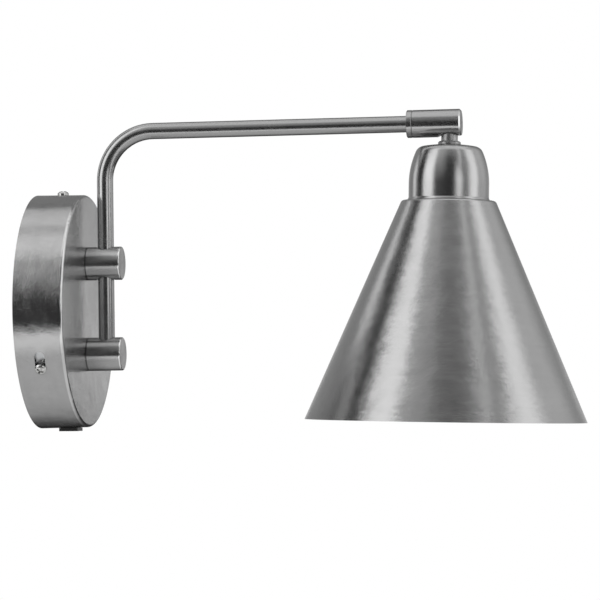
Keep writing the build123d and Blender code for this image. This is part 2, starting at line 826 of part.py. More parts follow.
# ------------------------------------------------------------------ head: swivel and neck
def gland_ring():
    """Threaded ring that closes the barrel and turns on the tube."""
    flange = rod(barrel_radius, gland_flange)
    flange = Rot(180, 0, 0) * chamfer(flange.edges().filter_by(GeomType.CIRCLE), gland_edge)
    spigot = rod(chamber_radius - fit_clearance, gland_spigot)
    bore = Pos(0, 0, -gland_flange) * rod(tube_radius + running_clearance, gland_flange + gland_spigot)
    return along_x(flange + spigot - bore, barrel_start, 0, arm_height)


def swivel_barrel():
    length = barrel_end - barrel_start
    body = chamfer(end_circle(rod(barrel_radius, length)), barrel_edge)
    body = chamfer(body.edges().filter_by(GeomType.CIRCLE).sort_by(Axis.Z)[0], gland_edge)
    body -= rod(chamber_radius, chamber_floor - barrel_start)
    body -= rod(barrel_bore_radius, head_x - barrel_start)
    body = along_x(body, barrel_start, 0, arm_height)
    under = barrel_radius + flat_clearance
    flat = Pos(0, 0, -under) * rod(spotface_radius, under - spotface_drop)
    flat += block(0, 2 * barrel_overhang, -spotface_radius, spotface_radius, -under, -spotface_drop)
    thread = Pos(0, 0, -under) * rod(neck_radius + fit_clearance, under - neck_top_drop)
    room = Pos(0, 0, -neck_top_drop) * rod(neck_bore_radius, neck_top_drop + flex_radius + body_clearance)
    return body - head_frame * (flat + thread + room)


def head_flex():
    """Flex from the end of the arm to the neck's axis and down it into the lamp holder."""
    start = Vector(tube_tip() + body_clearance, 0, arm_height)
    corner = head_frame.position
    end = (head_frame * Pos(0, 0, body_clearance - holder_insert_top())).position
    return wire_run([start, corner, end], head_flex_bend, flex_radius)


def neck_nipple():
    nipple = tube(neck_radius, neck_bore_radius, neck_length)
    return head_frame * Pos(0, 0, -neck_top_drop - neck_length) * nipple


def neck_washer():
    """Thick bevelled washer between the neck and the cup."""
    disc = chamfer(end_circle(rod(neck_washer_radius, neck_washer_thickness)), neck_washer_bevel)
    bore = rod(neck_radius + fit_clearance, neck_washer_thickness)
    return head_frame * Pos(0, 0, -cup_drop) * (disc - bore)


def nipple_locknut():
    nut = hexagon(locknut_flats, neck_radius + fit_clearance, locknut_thickness)
    return head_frame * Pos(0, 0, -locknut_drop) * nut


# ------------------------------------------------------------------ head: cup and shade
def cup_form(inset):
    """Bell shape of three tangent arcs, its top on the origin; inset gives the inner surface."""
    def on_arc(centre, radius, angle):
        return centre[0] + (radius - inset) * sin(angle), 0, centre[1] + (radius - inset) * cos(angle)

    upright = radians(90)
    side_start = upright - radians(cup_corner_slope)
    crown_arc = ThreePointArc(*[on_arc((0, -cup_crown), cup_crown, cup_crown_tilt * f) for f in (0, 0.5, 1)])
    corner_middle = (cup_crown_tilt + side_start) / 2
    corner_angles = (cup_crown_tilt, corner_middle, side_start)
    corner_arc = ThreePointArc(*[on_arc(cup_corner_centre, cup_corner, angle) for angle in corner_angles])
    side_angles = (side_start, (side_start + upright) / 2, upright)
    side_centre = (cup_radius - cup_side_radius, -cup_side_drop)
    side_arc = ThreePointArc(*[on_arc(side_centre, cup_side_radius, angle) for angle in side_angles])
    foot = side_arc @ 1
    skirt = Polyline(foot, (foot.X, 0, -cup_height), (0, 0, -cup_height), crown_arc @ 0)
    return turned_edges([crown_arc, corner_arc, side_arc, *skirt.edges()])


def holder_cup():
    cup = cup_form(0) - cup_form(cup_wall)
    flare = Cone(cup_radius + cup_flare, cup_radius, cup_flare_height, align=standing)
    flare = fillet(flare.edges().filter_by(GeomType.CIRCLE).sort_by(SortBy.RADIUS)[-1], cup_flare_edge)
    flare -= rod(cup_radius - cup_wall / 2, cup_flare_height)
    hole = Pos(0, 0, -2 * cup_wall) * rod(neck_radius + fit_clearance, 3 * cup_wall)
    return head_frame * Pos(0, 0, -cup_drop) * (cup + Pos(0, 0, -cup_height) * flare - hole)


def shade_form(inset):
    """Cone with a rounded shoulder, its top on the origin; inset gives the inner surface."""
    shift = inset * hypot(1, shade_slope)
    top = shade_top_radius - shift + inset * shade_slope
    rim = shade_rim_radius - shift
    corner = max(shade_corner - inset, least_fillet)
    outline = Polygon((0, -inset), (top, -inset), (rim, -shade_height), (0, -shade_height), align=None)
    rounded = fillet(outline.vertices().sort_by_distance((top, -inset, 0))[0], corner)
    return revolve(Plane.XZ * rounded, Axis.Z)


def shade():
    hole = Pos(0, 0, -2 * shade_wall) * rod(shade_hole_radius, 3 * shade_wall)
    return head_frame * Pos(0, 0, -shade_drop) * (shade_form(0) - shade_form(shade_wall) - hole)


# ------------------------------------------------------------------ head: lamp holder and bulb
def holder_top():
    """Drop of the lamp holder's top, under the locknut."""
    return locknut_drop + fit_clearance


def holder_skirt_top():
    return holder_top() + holder_cap_height


def holder_insert_top():
    return holder_skirt_top() + insert_drop


def holder_cap():
    """Moulded top of the lamp holder, screwed on the neck."""
    outer = fillet(end_circle(rod(holder_cap_radius, holder_cap_height)), holder_cap_corner)
    inner = rod(holder_cap_radius - holder_cap_wall, holder_cap_height - holder_cap_top)
    inner = fillet(end_circle(inner), holder_cap_corner - holder_cap_wall)
    cap = outer - inner - rod(neck_radius + fit_clearance, holder_cap_height)
    return head_frame * Pos(0, 0, -holder_skirt_top()) * cap


def holder_skirt():
    """Threaded lower half of the lamp holder, its spigot inside the cap."""
    inner = holder_skirt_radius - holder_skirt_wall
    skirt = tube(holder_skirt_radius, inner, holder_skirt_length)
    spigot_outer = holder_cap_radius - holder_cap_wall - fit_clearance
    spigot = Pos(0, 0, holder_skirt_length) * tube(spigot_outer, inner, holder_spigot)
    return head_frame * Pos(0, 0, -holder_skirt_top() - holder_skirt_length) * (skirt + spigot)


def holder_insert():
    """Heat-proof disc that carries the contacts, with two wire holes."""
    disc = rod(holder_skirt_radius - holder_skirt_wall - fit_clearance, insert_thickness)
    for side in (-1, 1):
        wire_hole = rod(insert_hole_radius, insert_hole_depth)
        disc -= Pos(0, side * insert_hole_offset, insert_thickness - insert_hole_depth) * wire_hole
    return head_frame * Pos(0, 0, -holder_insert_top() - insert_thickness) * disc


def holder_shell():
    """Screw shell that takes the bulb's cap."""
    shell = tube(holder_shell_radius, holder_shell_radius - holder_shell_wall, holder_shell_length)
    drop = holder_insert_top() + insert_thickness + holder_shell_length
    return head_frame * Pos(0, 0, -drop) * shell


def holder_contact():
    """Sprung centre contact: a strip, riveted at one end and lifted at the other."""
    end = contact_length / 2
    side = Polygon(
        (-end, 0), (end, 0), (end, -contact_sheet),
        (0, -contact_drop), (-contact_step, -contact_drop), (-end, -contact_sheet),
        align=None,
    )
    strip = extrude(Plane.XZ * side, contact_width / 2, both=True)
    return head_frame * Pos(0, 0, -holder_insert_top() - insert_thickness) * strip


def shade_ring():
    """Ring nut that clamps the shade against the cup, with finger ribs."""
    bore = holder_skirt_radius + fit_clearance
    hub_radius = bore + shade_ring_hub_wall
    ring = Pos(0, 0, -shade_ring_flange) * tube(shade_ring_radius, bore, shade_ring_flange)
    ring += Pos(0, 0, -shade_ring_height) * tube(hub_radius, bore, shade_ring_height)
    rib_height = shade_ring_height - shade_ring_flange
    rib = Pos(hub_radius, 0, -shade_ring_flange - rib_height / 2) * Box(2 * rib_reach, rib_width, rib_height)
    for turn in range(shade_ring_ribs):
        ring += Rot(0, 0, turn * 360 / shade_ring_ribs) * rib
    return head_frame * Pos(0, 0, -shade_drop - shade_wall - fit_clearance) * ring


def bulb_tip_drop():
    return holder_insert_top() + insert_thickness + contact_drop + fit_clearance


def bulb_cap():
    """Screwed cap with a rolled thread, open where the contact sits."""
    crest = bulb_thread_radius
    root = bulb_thread_radius - bulb_thread_depth
    pitch = bulb_thread_pitch
    turns = int((bulb_cap_length - bulb_thread_start - bulb_cap_collar) / pitch)
    height = -bulb_thread_start
    edges = [*Polyline((0, 0, 0), (bulb_cap_end_radius, 0, 0), (root, 0, height)).edges()]
    for _ in range(turns):
        next_root = height - pitch
        edges.append(ThreePointArc((root, 0, height), (crest, 0, height - pitch / 2), (root, 0, next_root)))
        height = next_root
    shoulder = height - bulb_thread_start
    collar = Polyline((root, 0, height), (crest, 0, shoulder), (crest, 0, -bulb_cap_length),
                      (0, 0, -bulb_cap_length), (0, 0, 0))
    return head_frame * Pos(0, 0, -bulb_cap_drop()) * turned_edges([*edges, *collar.edges()])


def bulb_cap_drop():
    """Drop of the bulb cap's own end, below its contact and glass collar."""
    return bulb_tip_drop() + bulb_contact_height + bulb_insulator_height


def bulb_insulator():
    collar = Cone(bulb_cap_end_radius, bulb_contact_radius, bulb_insulator_height, align=standing)
    return head_frame * Pos(0, 0, -bulb_cap_drop()) * collar


def bulb_contact():
    button = rod(bulb_contact_radius, bulb_contact_height)
    button = fillet(end_circle(button), bulb_contact_height / 2)
    return head_frame * Pos(0, 0, -bulb_tip_drop() - bulb_contact_height) * button


def bulb_form(inset):
    """Round bulb: a short neck that flares into a sphere; inset gives its inner surface."""
    radius = bulb_radius - inset
    neck = bulb_neck_radius - inset
    centre = bulb_radius - bulb_length
    shoulder = radians(bulb_flare_angle)
    widest = (radius, 0, centre)
    lowest = (0, 0, centre - radius)
    touch = (radius * sin(shoulder), 0, centre + radius * cos(shoulder))
    sphere = ThreePointArc(touch, widest, lowest)
    flare = TangentArc(touch, (neck, 0, 0), tangent=(-cos(shoulder), 0, sin(shoulder)))
    return turned_edges([sphere, flare, Line((neck, 0, 0), (0, 0, 0)), Line((0, 0, 0), lowest)])


def bulb_glass():
    """Blown shell, open at the neck where it is cemented in the cap."""
    return head_frame * Pos(0, 0, -bulb_cap_drop() - bulb_cap_length) * (bulb_form(0) - bulb_form(bulb_wall))


# ------------------------------------------------------------------ write every node
nodes = [
    canopy_cover, wall_bracket, cable_grommet, cover_screws,
    boss_upper, boss_lower, boss_washers, boss_nuts, upper_bush, lower_bush, swing_grub_screw,
    switch_housing, switch_rocker, switch_terminals,
    terminal_block, terminal_screws, terminal_fixing_screw, earth_screw, earth_tag,
    earth_lead, live_lead, switched_lead, neutral_lead, canopy_flex,
    arm_tube, arm_flex, swivel_nut, friction_washers, wave_washer,
    gland_ring, swivel_barrel, head_flex, neck_nipple, neck_washer, nipple_locknut,
    holder_cup, shade, holder_cap, holder_skirt, holder_insert, holder_shell, holder_contact, shade_ring,
    bulb_cap, bulb_insulator, bulb_contact, bulb_glass,
]

os.makedirs("parts", exist_ok=True)
for node in nodes:
    write(node.__name__, node())
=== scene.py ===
import json
from math import cos, pi, radians, sin

import bpy
from mathutils import Matrix, Vector


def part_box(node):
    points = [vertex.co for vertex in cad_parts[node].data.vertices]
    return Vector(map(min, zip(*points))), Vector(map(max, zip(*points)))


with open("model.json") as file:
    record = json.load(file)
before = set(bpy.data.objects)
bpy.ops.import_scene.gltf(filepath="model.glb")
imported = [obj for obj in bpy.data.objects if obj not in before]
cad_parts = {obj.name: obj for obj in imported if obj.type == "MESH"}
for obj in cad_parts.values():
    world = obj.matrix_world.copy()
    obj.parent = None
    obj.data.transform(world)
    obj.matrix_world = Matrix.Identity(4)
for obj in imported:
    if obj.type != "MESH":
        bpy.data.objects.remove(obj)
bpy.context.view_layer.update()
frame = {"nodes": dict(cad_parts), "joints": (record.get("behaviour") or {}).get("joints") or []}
nodes = frame["nodes"]
joints = {joint["name"]: joint for joint in frame["joints"]}

# ------------------------------------------------------------------ camera, at the photograph's angle
VIEW_AZIMUTH = radians(9.264)
VIEW_ELEVATION = radians(-1.797)
VIEW_ROLL = radians(-0.761)
VIEW_DISTANCE = 1.938
VIEW_AIM = Vector((0.161127, 0.0, 0.004424))
VIEW_LENS = 191.74
SENSOR_WIDTH = 36.0


def make_camera():
    back = Vector((
        sin(VIEW_AZIMUTH) * cos(VIEW_ELEVATION),
        -cos(VIEW_AZIMUTH) * cos(VIEW_ELEVATION),
        sin(VIEW_ELEVATION),
    ))
    right = (-back).cross(Vector((0, 0, 1))).normalized()
    up = right.cross(-back)
    rolled_right = right * cos(VIEW_ROLL) + up * sin(VIEW_ROLL)
    rolled_up = up * cos(VIEW_ROLL) - right * sin(VIEW_ROLL)
    camera = bpy.data.objects.new("camera", bpy.data.cameras.new("camera"))
    camera.data.lens = VIEW_LENS
    camera.data.sensor_width = SENSOR_WIDTH
    turn = Matrix((rolled_right, rolled_up, back)).transposed().to_4x4()
    camera.matrix_world = Matrix.Translation(VIEW_AIM + back * VIEW_DISTANCE) @ turn
    bpy.context.scene.collection.objects.link(camera)
    bpy.context.scene.camera = camera


# ------------------------------------------------------------------ node helpers
X_AXIS = (1.0, 0.0, 0.0)


class Nodes:
    """Short way to add shader nodes and join them."""

    def __init__(self, tree):
        self.tree = tree
        tree.nodes.clear()

    def add(self, kind, inputs=None, **settings):
        node = self.tree.nodes.new(kind)
        for key, value in settings.items():
            setattr(node, key, value)
        for key, value in (inputs or {}).items():
            self.set(node.inputs[key], value)
        return node

    def set(self, socket, value):
        if isinstance(value, bpy.types.NodeSocket):
            self.tree.links.new(value, socket)
        elif isinstance(value, bpy.types.Node):
            self.tree.links.new(value.outputs[0], socket)
        else:
            socket.default_value = value

    def math(self, operation, a, b=0.0):
        return self.add("ShaderNodeMath", {0: a, 1: b}, operation=operation).outputs[0]

    def total(self, first, *others):
        for other in others:
            first = self.math("ADD", first, other)
        return first

    def vector(self, operation, a, b=(0, 0, 0)):
        node = self.add("ShaderNodeVectorMath", {0: a, 1: b}, operation=operation)
        return node.outputs["Value" if operation in ("DOT_PRODUCT", "LENGTH") else "Vector"]

    def scaled(self, vector, factor):
        node = self.add("ShaderNodeVectorMath", {0: vector, "Scale": factor}, operation="SCALE")
        return node.outputs["Vector"]

    def noise(self, vector, detail=2.0, roughness=0.5):
        return self.add(
            "ShaderNodeTexNoise",
            {"Vector": vector, "Scale": 1.0, "Detail": detail, "Roughness": roughness},
        ).outputs[0]

    def spread(self, value, low, high):
        """Value 0..1 stretched to low..high."""
        return self.add("ShaderNodeMapRange", {"Value": value, "To Min": low, "To Max": high}).outputs[0]

    def faded(self, value, start, end):
        """0 at start and 1 at end, smooth between them."""
        return self.add(
            "ShaderNodeMapRange", {"Value": value, "From Min": start, "From Max": end},
            interpolation_type="SMOOTHSTEP",
        ).outputs[0]

    def colour(self, red, green, blue):
        return self.add("ShaderNodeCombineColor", {0: red, 1: green, 2: blue})

    def bump(self, height, strength, depth, normal=None):
        inputs = {"Strength": strength, "Distance": depth, "Height": height}
        if normal is not None:
            inputs["Normal"] = normal
        return self.add("ShaderNodeBump", inputs)

    def finish(self, surface):
        self.add("ShaderNodeOutputMaterial", {"Surface": surface})


def new_material(name):
    material = bpy.data.materials.new(name)
    material.use_nodes = True
    return material, Nodes(material.node_tree)


def grey(level):
    return (level, level, level, 1.0)


# ------------------------------------------------------------------ studio
STUDIO_CENTRE = Vector((0.16, 0.0, 0.03))
WORLD_STRENGTH = 1.0

# The tent's foot, head and steps are degrees of height; its levels are brightness.
TENT_RADIUS = 2.6
TENT_FOOT = -12.0
TENT_HEAD = 86.0
TENT_STEP = 2.0
BACK_LEVEL = 0.36
FRONT_LEVEL = 0.02
FRONT_HALF_WIDTH = 70.0
FRONT_SOFT_EDGE = 60.0
CEILING_LEVEL = 0.54
CEILING_FADE = (30.0, 74.0)
CEILING_SHARE_BEHIND = 0.5

# Soft boxes on the tent: azimuth, half width, width of the soft edge, extra brightness, and the
# heights where it has all of that and none of it. Degrees; azimuth 0 is the photograph's side, 90
# is out along +X.
SOFT_BOXES = (
    (-54, 12, 10, 1.72, (70, 95)),
    (37, 3, 12, 1.50, (8, 38)),
    (48, 1, 4, 1.30, (34, 26)),
    (60, 4, 24, 0.30, (70, 95)),
    (84, 8, 11, 1.00, (70, 95)),
    (105, 12, 40, 0.46, (70, 95)),
    (-110, 2, 12, 1.00, (70, 95)),
    (-24, 4, 30, 0.32, (35, 4)),
    (180, 16, 14, 0.42, (4, 14)),
)
# Dark flags: azimuth, half width, soft edge, share of the light kept out (below zero: added),
# lowest and highest height, and the soft edge of those.
FLAGS = (
    (-86, 4, 11, 0.92, -20, 95, 5),
    (180, 14, 14, 0.40, 6, 42, 8),
    (180, 22, 16, 0.85, 52, 58, 5),
    (180, 60, 30, 0.85, -30, -5, 4),
    (-14, 10, 14, -0.45, 30, 44, 8),
    (-14, 10, 14, -0.35, 12, 24, 8),
)

# Two glowing cards that only reflections see, each a run of strips at (y, z, brightness). The board in
# front is pale low down and dark above, so everything round that lies level has a sharp line along it.
# The card on the floor darkens what faces down and back.
FRONT_BOARD = (
    (-0.50, -0.41, 0.85), (-0.50, -0.30, 1.05), (-0.50, -0.176, 1.25), (-0.50, -0.170, 0.03),
    (-0.50, -0.02, 0.04), (-0.50, 0.0, 0.04),
)
FRONT_BOARD_ENDS = (-1.0, 1.3)
FLOOR_CARD = (
    (-0.45, -0.412, 0.70), (-0.05, -0.412, 0.68), (0.03, -0.412, 0.64), (0.13, -0.412, 0.53),
    (0.20, -0.412, 0.42), (0.29, -0.412, 0.30), (0.35, -0.412, 0.23), (0.44, -0.412, 0.14),
    (0.58, -0.412, 0.06), (0.90, -0.412, 0.03), (2.30, -0.400, 0.02),
)
FLOOR_CARD_ENDS = (-1.2, 1.5)

FLOOR_DROP = -0.42
FLOOR_RADIUS = 2.2
FLOOR_FADE = (0.5, 1.7)
FLOOR_COLOUR = 0.90
DISC_SIDES = 96
# A dark sheet of painted shade behind the cover's slots: its radius, place along X and colour.
SLOT_SHADE_RADIUS = 0.068
SLOT_SHADE_PLACE = -0.0003
SLOT_SHADE_COLOUR = 0.02
LAMP_PLACE = Vector((0.16, -0.1, 1.7))
LAMP_SIDE = 2.2
LAMP_POWER = 6.5


def smooth(t):
    t = min(max(t, 0.0), 1.0)
    return t * t * (3 - 2 * t)


def beside(azimuth, centre, half_width, edge):
    """1 inside the given sector of the tent, falling to 0 across its soft edges."""
    away = abs((azimuth - centre + 180) % 360 - 180)
    return 1 - smooth((away - half_width) / edge)


def tent_level(azimuth, height):
    front = beside(azimuth, 0, FRONT_HALF_WIDTH, FRONT_SOFT_EDGE)
    level = BACK_LEVEL + (FRONT_LEVEL - BACK_LEVEL) * front
    for centre, half_width, edge, strength, (whole, gone) in SOFT_BOXES:
        kept = 1 - smooth((height - whole) / (gone - whole))
        level += strength * beside(azimuth, centre, half_width, edge) * kept
    rise = smooth((height - CEILING_FADE[0]) / (CEILING_FADE[1] - CEILING_FADE[0]))
    share = CEILING_SHARE_BEHIND + (1 - CEILING_SHARE_BEHIND) * front
    level += (CEILING_LEVEL - level) * rise * share
    for centre, half_width, edge, depth, low, high, blur in FLAGS:
        inside = smooth((height - low + blur) / blur) * smooth((high + blur - height) / blur)
        level *= 1 - depth * inside * beside(azimuth, centre, half_width, edge)
    return level


def mesh_object(name, vertices, faces):
    mesh = bpy.data.meshes.new(name)
    mesh.from_pydata(vertices, [], faces)
    mesh.update()
    made = bpy.data.objects.new(name, mesh)
    bpy.context.scene.collection.objects.link(made)
    return made


def glow_material():
    """Glows as brightly as the mesh's own level says."""
    material, n = new_material("studio_tent")
    level = n.add("ShaderNodeAttribute", attribute_name="level").outputs["Fac"]
    n.finish(n.add("ShaderNodeEmission", {"Color": grey(1.0), "Strength": level}))
    return material


def set_levels(glowing, levels, material):
    glowing.data.attributes.new("level", "FLOAT", "POINT").data.foreach_set("value", levels)
    glowing.data.materials.append(material)
    glowing.visible_camera = False


def make_tent(material):
    """Light tent round the lamp, seen in reflections and not by the camera."""
    across = round(360 / TENT_STEP)
    rows = round((TENT_HEAD - TENT_FOOT) / TENT_STEP) + 1
    vertices, levels = [], []
    for i in range(across):
        azimuth = 360 * i / across - 180
        for j in range(rows):
            height = TENT_FOOT + (TENT_HEAD - TENT_FOOT) * j / (rows - 1)
            a, h = radians(azimuth), radians(height)
            outward = Vector((sin(a) * cos(h), -cos(a) * cos(h), sin(h)))
            vertices.append(STUDIO_CENTRE + outward * TENT_RADIUS)
            levels.append(tent_level(azimuth, height))
    faces = []
    for i in range(across):
        here, there = i * rows, (i + 1) % across * rows
        faces += [(here + j, there + j, there + j + 1, here + j + 1) for j in range(rows - 1)]
    tent = mesh_object("studio_tent", vertices, faces)
    set_levels(tent, levels, material)


def make_card(name, ends, stops, material):
    vertices = [(x, y, z) for y, z, level in stops for x in ends]
    faces = [(2 * i, 2 * i + 1, 2 * i + 3, 2 * i + 2) for i in range(len(stops) - 1)]
    card = mesh_object(name, vertices, faces)
    set_levels(card, [level for y, z, level in stops for end in ends], material)
    card.visible_diffuse = False
    card.visible_shadow = False


def floor_material():
    """Pale floor that keeps the shadow near the lamp, turns white far from it and is clear from below."""
    material, n = new_material("studio_floor")
    distance = n.vector("LENGTH", n.add("ShaderNodeTexCoord").outputs["Object"])
    paint = n.add("ShaderNodeBsdfDiffuse", {"Color": grey(FLOOR_COLOUR)})
    white = n.add("ShaderNodeEmission", {"Color": grey(1.0), "Strength": 1.0})
    top = n.add("ShaderNodeMixShader", {"Fac": n.faded(distance, *FLOOR_FADE), 1: paint, 2: white})
    below = n.add("ShaderNodeNewGeometry").outputs["Backfacing"]
    clear = n.add("ShaderNodeBsdfTransparent")
    n.finish(n.add("ShaderNodeMixShader", {"Fac": below, 1: top, 2: clear}))
    return material


def disc_object(name, radius):
    turns = [2 * pi * i / DISC_SIDES for i in range(DISC_SIDES)]
    ring = [(radius * cos(t), radius * sin(t), 0) for t in turns]
    return mesh_object(name, ring, [tuple(range(DISC_SIDES))])


def make_floor():
    floor = disc_object("floor", FLOOR_RADIUS)
    floor.location = (STUDIO_CENTRE.x, 0, FLOOR_DROP)
    floor.data.materials.append(floor_material())


def make_slot_shade():
    """Painted shade: a dark sheet at the wall plane behind the cover, seen by camera rays through the cover's
    slots. It is clear from behind and to all light.
    """
    material, n = new_material("painted_slot_shade")
    front = n.math("SUBTRACT", 1.0, n.add("ShaderNodeNewGeometry").outputs["Backfacing"])
    seen = n.math("MULTIPLY", n.add("ShaderNodeLightPath").outputs["Is Camera Ray"], front)
    clear = n.add("ShaderNodeBsdfTransparent")
    dark = n.add("ShaderNodeBsdfDiffuse", {"Color": grey(SLOT_SHADE_COLOUR)})
    n.finish(n.add("ShaderNodeMixShader", {"Fac": seen, 1: clear, 2: dark}))
    patch = disc_object("painted_slot_shade", SLOT_SHADE_RADIUS)
    patch.rotation_euler = (0, pi / 2, 0)
    patch.location = (SLOT_SHADE_PLACE, 0, 0)
    patch.data.materials.append(material)


def make_lamp():
    light = bpy.data.lights.new("overhead", "AREA")
    light.shape = "RECTANGLE"
    light.size = light.size_y = LAMP_SIDE
    light.energy = LAMP_POWER
    lamp = bpy.data.objects.new("overhead", light)
    lamp.location = LAMP_PLACE
    lamp.rotation_euler = (STUDIO_CENTRE - LAMP_PLACE).to_track_quat("-Z", "Y").to_euler()
    bpy.context.scene.collection.objects.link(lamp)


def make_world():
    world = bpy.data.worlds.new("studio")
    world.use_nodes = True
    n = Nodes(world.node_tree)
    sky = n.add("ShaderNodeBackground", {"Color": grey(1.0), "Strength": WORLD_STRENGTH})
    n.add("ShaderNodeOutputWorld", {"Surface": sky})
    bpy.context.scene.world = world


def make_studio():
    bpy.context.scene.view_settings.view_transform = "Standard"
    make_world()
    glow = glow_material()
    make_tent(glow)
    make_card("studio_board", FRONT_BOARD_ENDS, FRONT_BOARD, glow)
    make_card("studio_card", FLOOR_CARD_ENDS, FLOOR_CARD, glow)
    make_floor()
    make_slot_shade()
    make_lamp()


# ------------------------------------------------------------------ turned metal
# Lines round a turned piece: how fast they change round it, and the metres between them along it
FINE_LINES = (1.6, 0.0006)
BROAD_LINES = (0.9, 0.004)
BRUSH_LINES = (14.0, 0.0009)
# Other marks, in spots per metre; flecks are short across the piece and shorter along it
CLOUD_SCALE = 55.0
SMUDGE_SCALE = 110.0
WAVE_SCALE = 38.0
FLECKS_ACROSS = 750.0
FLECKS_ALONG = 2100.0
# How far each mark changes the colour or the roughness
LINE_TONE = 0.035
CLOUD_TONE = 0.06
LINE_ROUGHNESS = 0.03
CLOUD_ROUGHNESS = 0.05
# How deep each mark is, in metres, and how strong where it is the same on all pieces
WAVE_DEPTH = 0.001
SMUDGE_DEPTH = 0.0003
SMUDGE_STRENGTH = 0.5
FLECK_DEPTH = 0.00008
LINE_DEPTH = 0.00002
LINE_STRENGTH = 0.3
# Painted highlights on edges, painted shade at roots, and the inside of spun shells
HIGHLIGHT_FLECKS = (0.6, 1.3)
HIGHLIGHT_ROUGHNESS = 0.7
ROOT_SHADE_TONE = 0.3
INSIDE_ROUGHNESS = 0.5
BRUSHED_ROTATION = 0.25


class Lathe:
    """Where a point lies on a turned piece: along its axis, out from it and round it."""

    def __init__(self, n, centre, axis):
        self.n = n
        self.axis = tuple(axis)
        self.own = n.add("ShaderNodeTexCoord")
        self.arm = n.vector("SUBTRACT", self.own.outputs["Object"], tuple(centre))
        self.along = n.vector("DOT_PRODUCT", self.arm, self.axis)
        self.radial = n.vector("SUBTRACT", self.arm, n.scaled(self.axis, self.along))
        self.radius = n.vector("LENGTH", self.radial)
        self.around = n.vector("NORMALIZE", self.radial)
        self.run = n.math("ADD", self.along, self.radius)

    def lines(self, turns, spacing):
        """Place in a pattern that is drawn out into lines round the axis."""
        n = self.n
        step = n.scaled(self.axis, n.math("DIVIDE", self.run, spacing))
        return n.vector("ADD", n.scaled(self.around, turns), step)

    def flecks(self):
        n = self.n
        step = n.scaled(self.axis, n.math("MULTIPLY", self.run, FLECKS_ALONG))
        return n.vector("ADD", n.scaled(self.radial, FLECKS_ACROSS), step)

    def tangent(self):
        return self.n.add(
            "ShaderNodeVectorTransform", {"Vector": self.n.vector("CROSS_PRODUCT", self.axis, self.around)},
            vector_type="VECTOR", convert_from="OBJECT", convert_to="WORLD",
        )


class LatheMarks:
    """The marks of turning, brushing and handling, each a value 0..1."""

    def __init__(self, n, lathe):
        self.fine = n.noise(lathe.lines(*FINE_LINES), detail=3.0, roughness=0.6)
        self.broad = n.noise(lathe.lines(*BROAD_LINES), detail=3.0, roughness=0.7)
        self.brush = n.noise(lathe.lines(*BRUSH_LINES), detail=2.0, roughness=0.6)
        self.cloud = n.noise(n.scaled(lathe.arm, CLOUD_SCALE), detail=4.0, roughness=0.6)
        self.smudge = n.noise(n.scaled(lathe.arm, SMUDGE_SCALE), detail=5.0, roughness=0.65)
        self.fleck = n.noise(lathe.flecks(), detail=3.0, roughness=0.75)
        self.wave = n.noise(n.scaled(lathe.arm, WAVE_SCALE), detail=2.0, roughness=0.5)


def painted_highlight_share(n, lathe, marks, edge):
    """Painted highlight: 1 near the ring at (place along the axis, radius), falling to 0 at the given width
    from it.
    """
    along, radius, width = edge
    away = n.total(
        n.math("POWER", n.math("SUBTRACT", lathe.along, along), 2.0),
        n.math("POWER", n.math("SUBTRACT", lathe.radius, radius), 2.0),
    )
    near = n.faded(n.math("SQRT", away), width, width * 0.5)
    return n.math("MULTIPLY", near, n.spread(marks.fleck, *HIGHLIGHT_FLECKS))


def lathe_bump(n, lathe, marks, tangent, smudges, flecks, waves, jitter):
    """The brushed normal, with waves, smudges, flecks and fine lines in it."""
    geometry = n.add("ShaderNodeNewGeometry").outputs["Normal"]
    brushed = n.vector("ADD", geometry, n.scaled(tangent, n.spread(marks.brush, -jitter, jitter)))
    bump = n.bump(marks.wave, waves, WAVE_DEPTH, n.vector("NORMALIZE", brushed))
    if smudges:
        bump = n.bump(marks.smudge, SMUDGE_STRENGTH, SMUDGE_DEPTH, bump)
    bump = n.bump(marks.fleck, flecks, FLECK_DEPTH, bump)
    return n.bump(marks.fine, LINE_STRENGTH, LINE_DEPTH, bump)


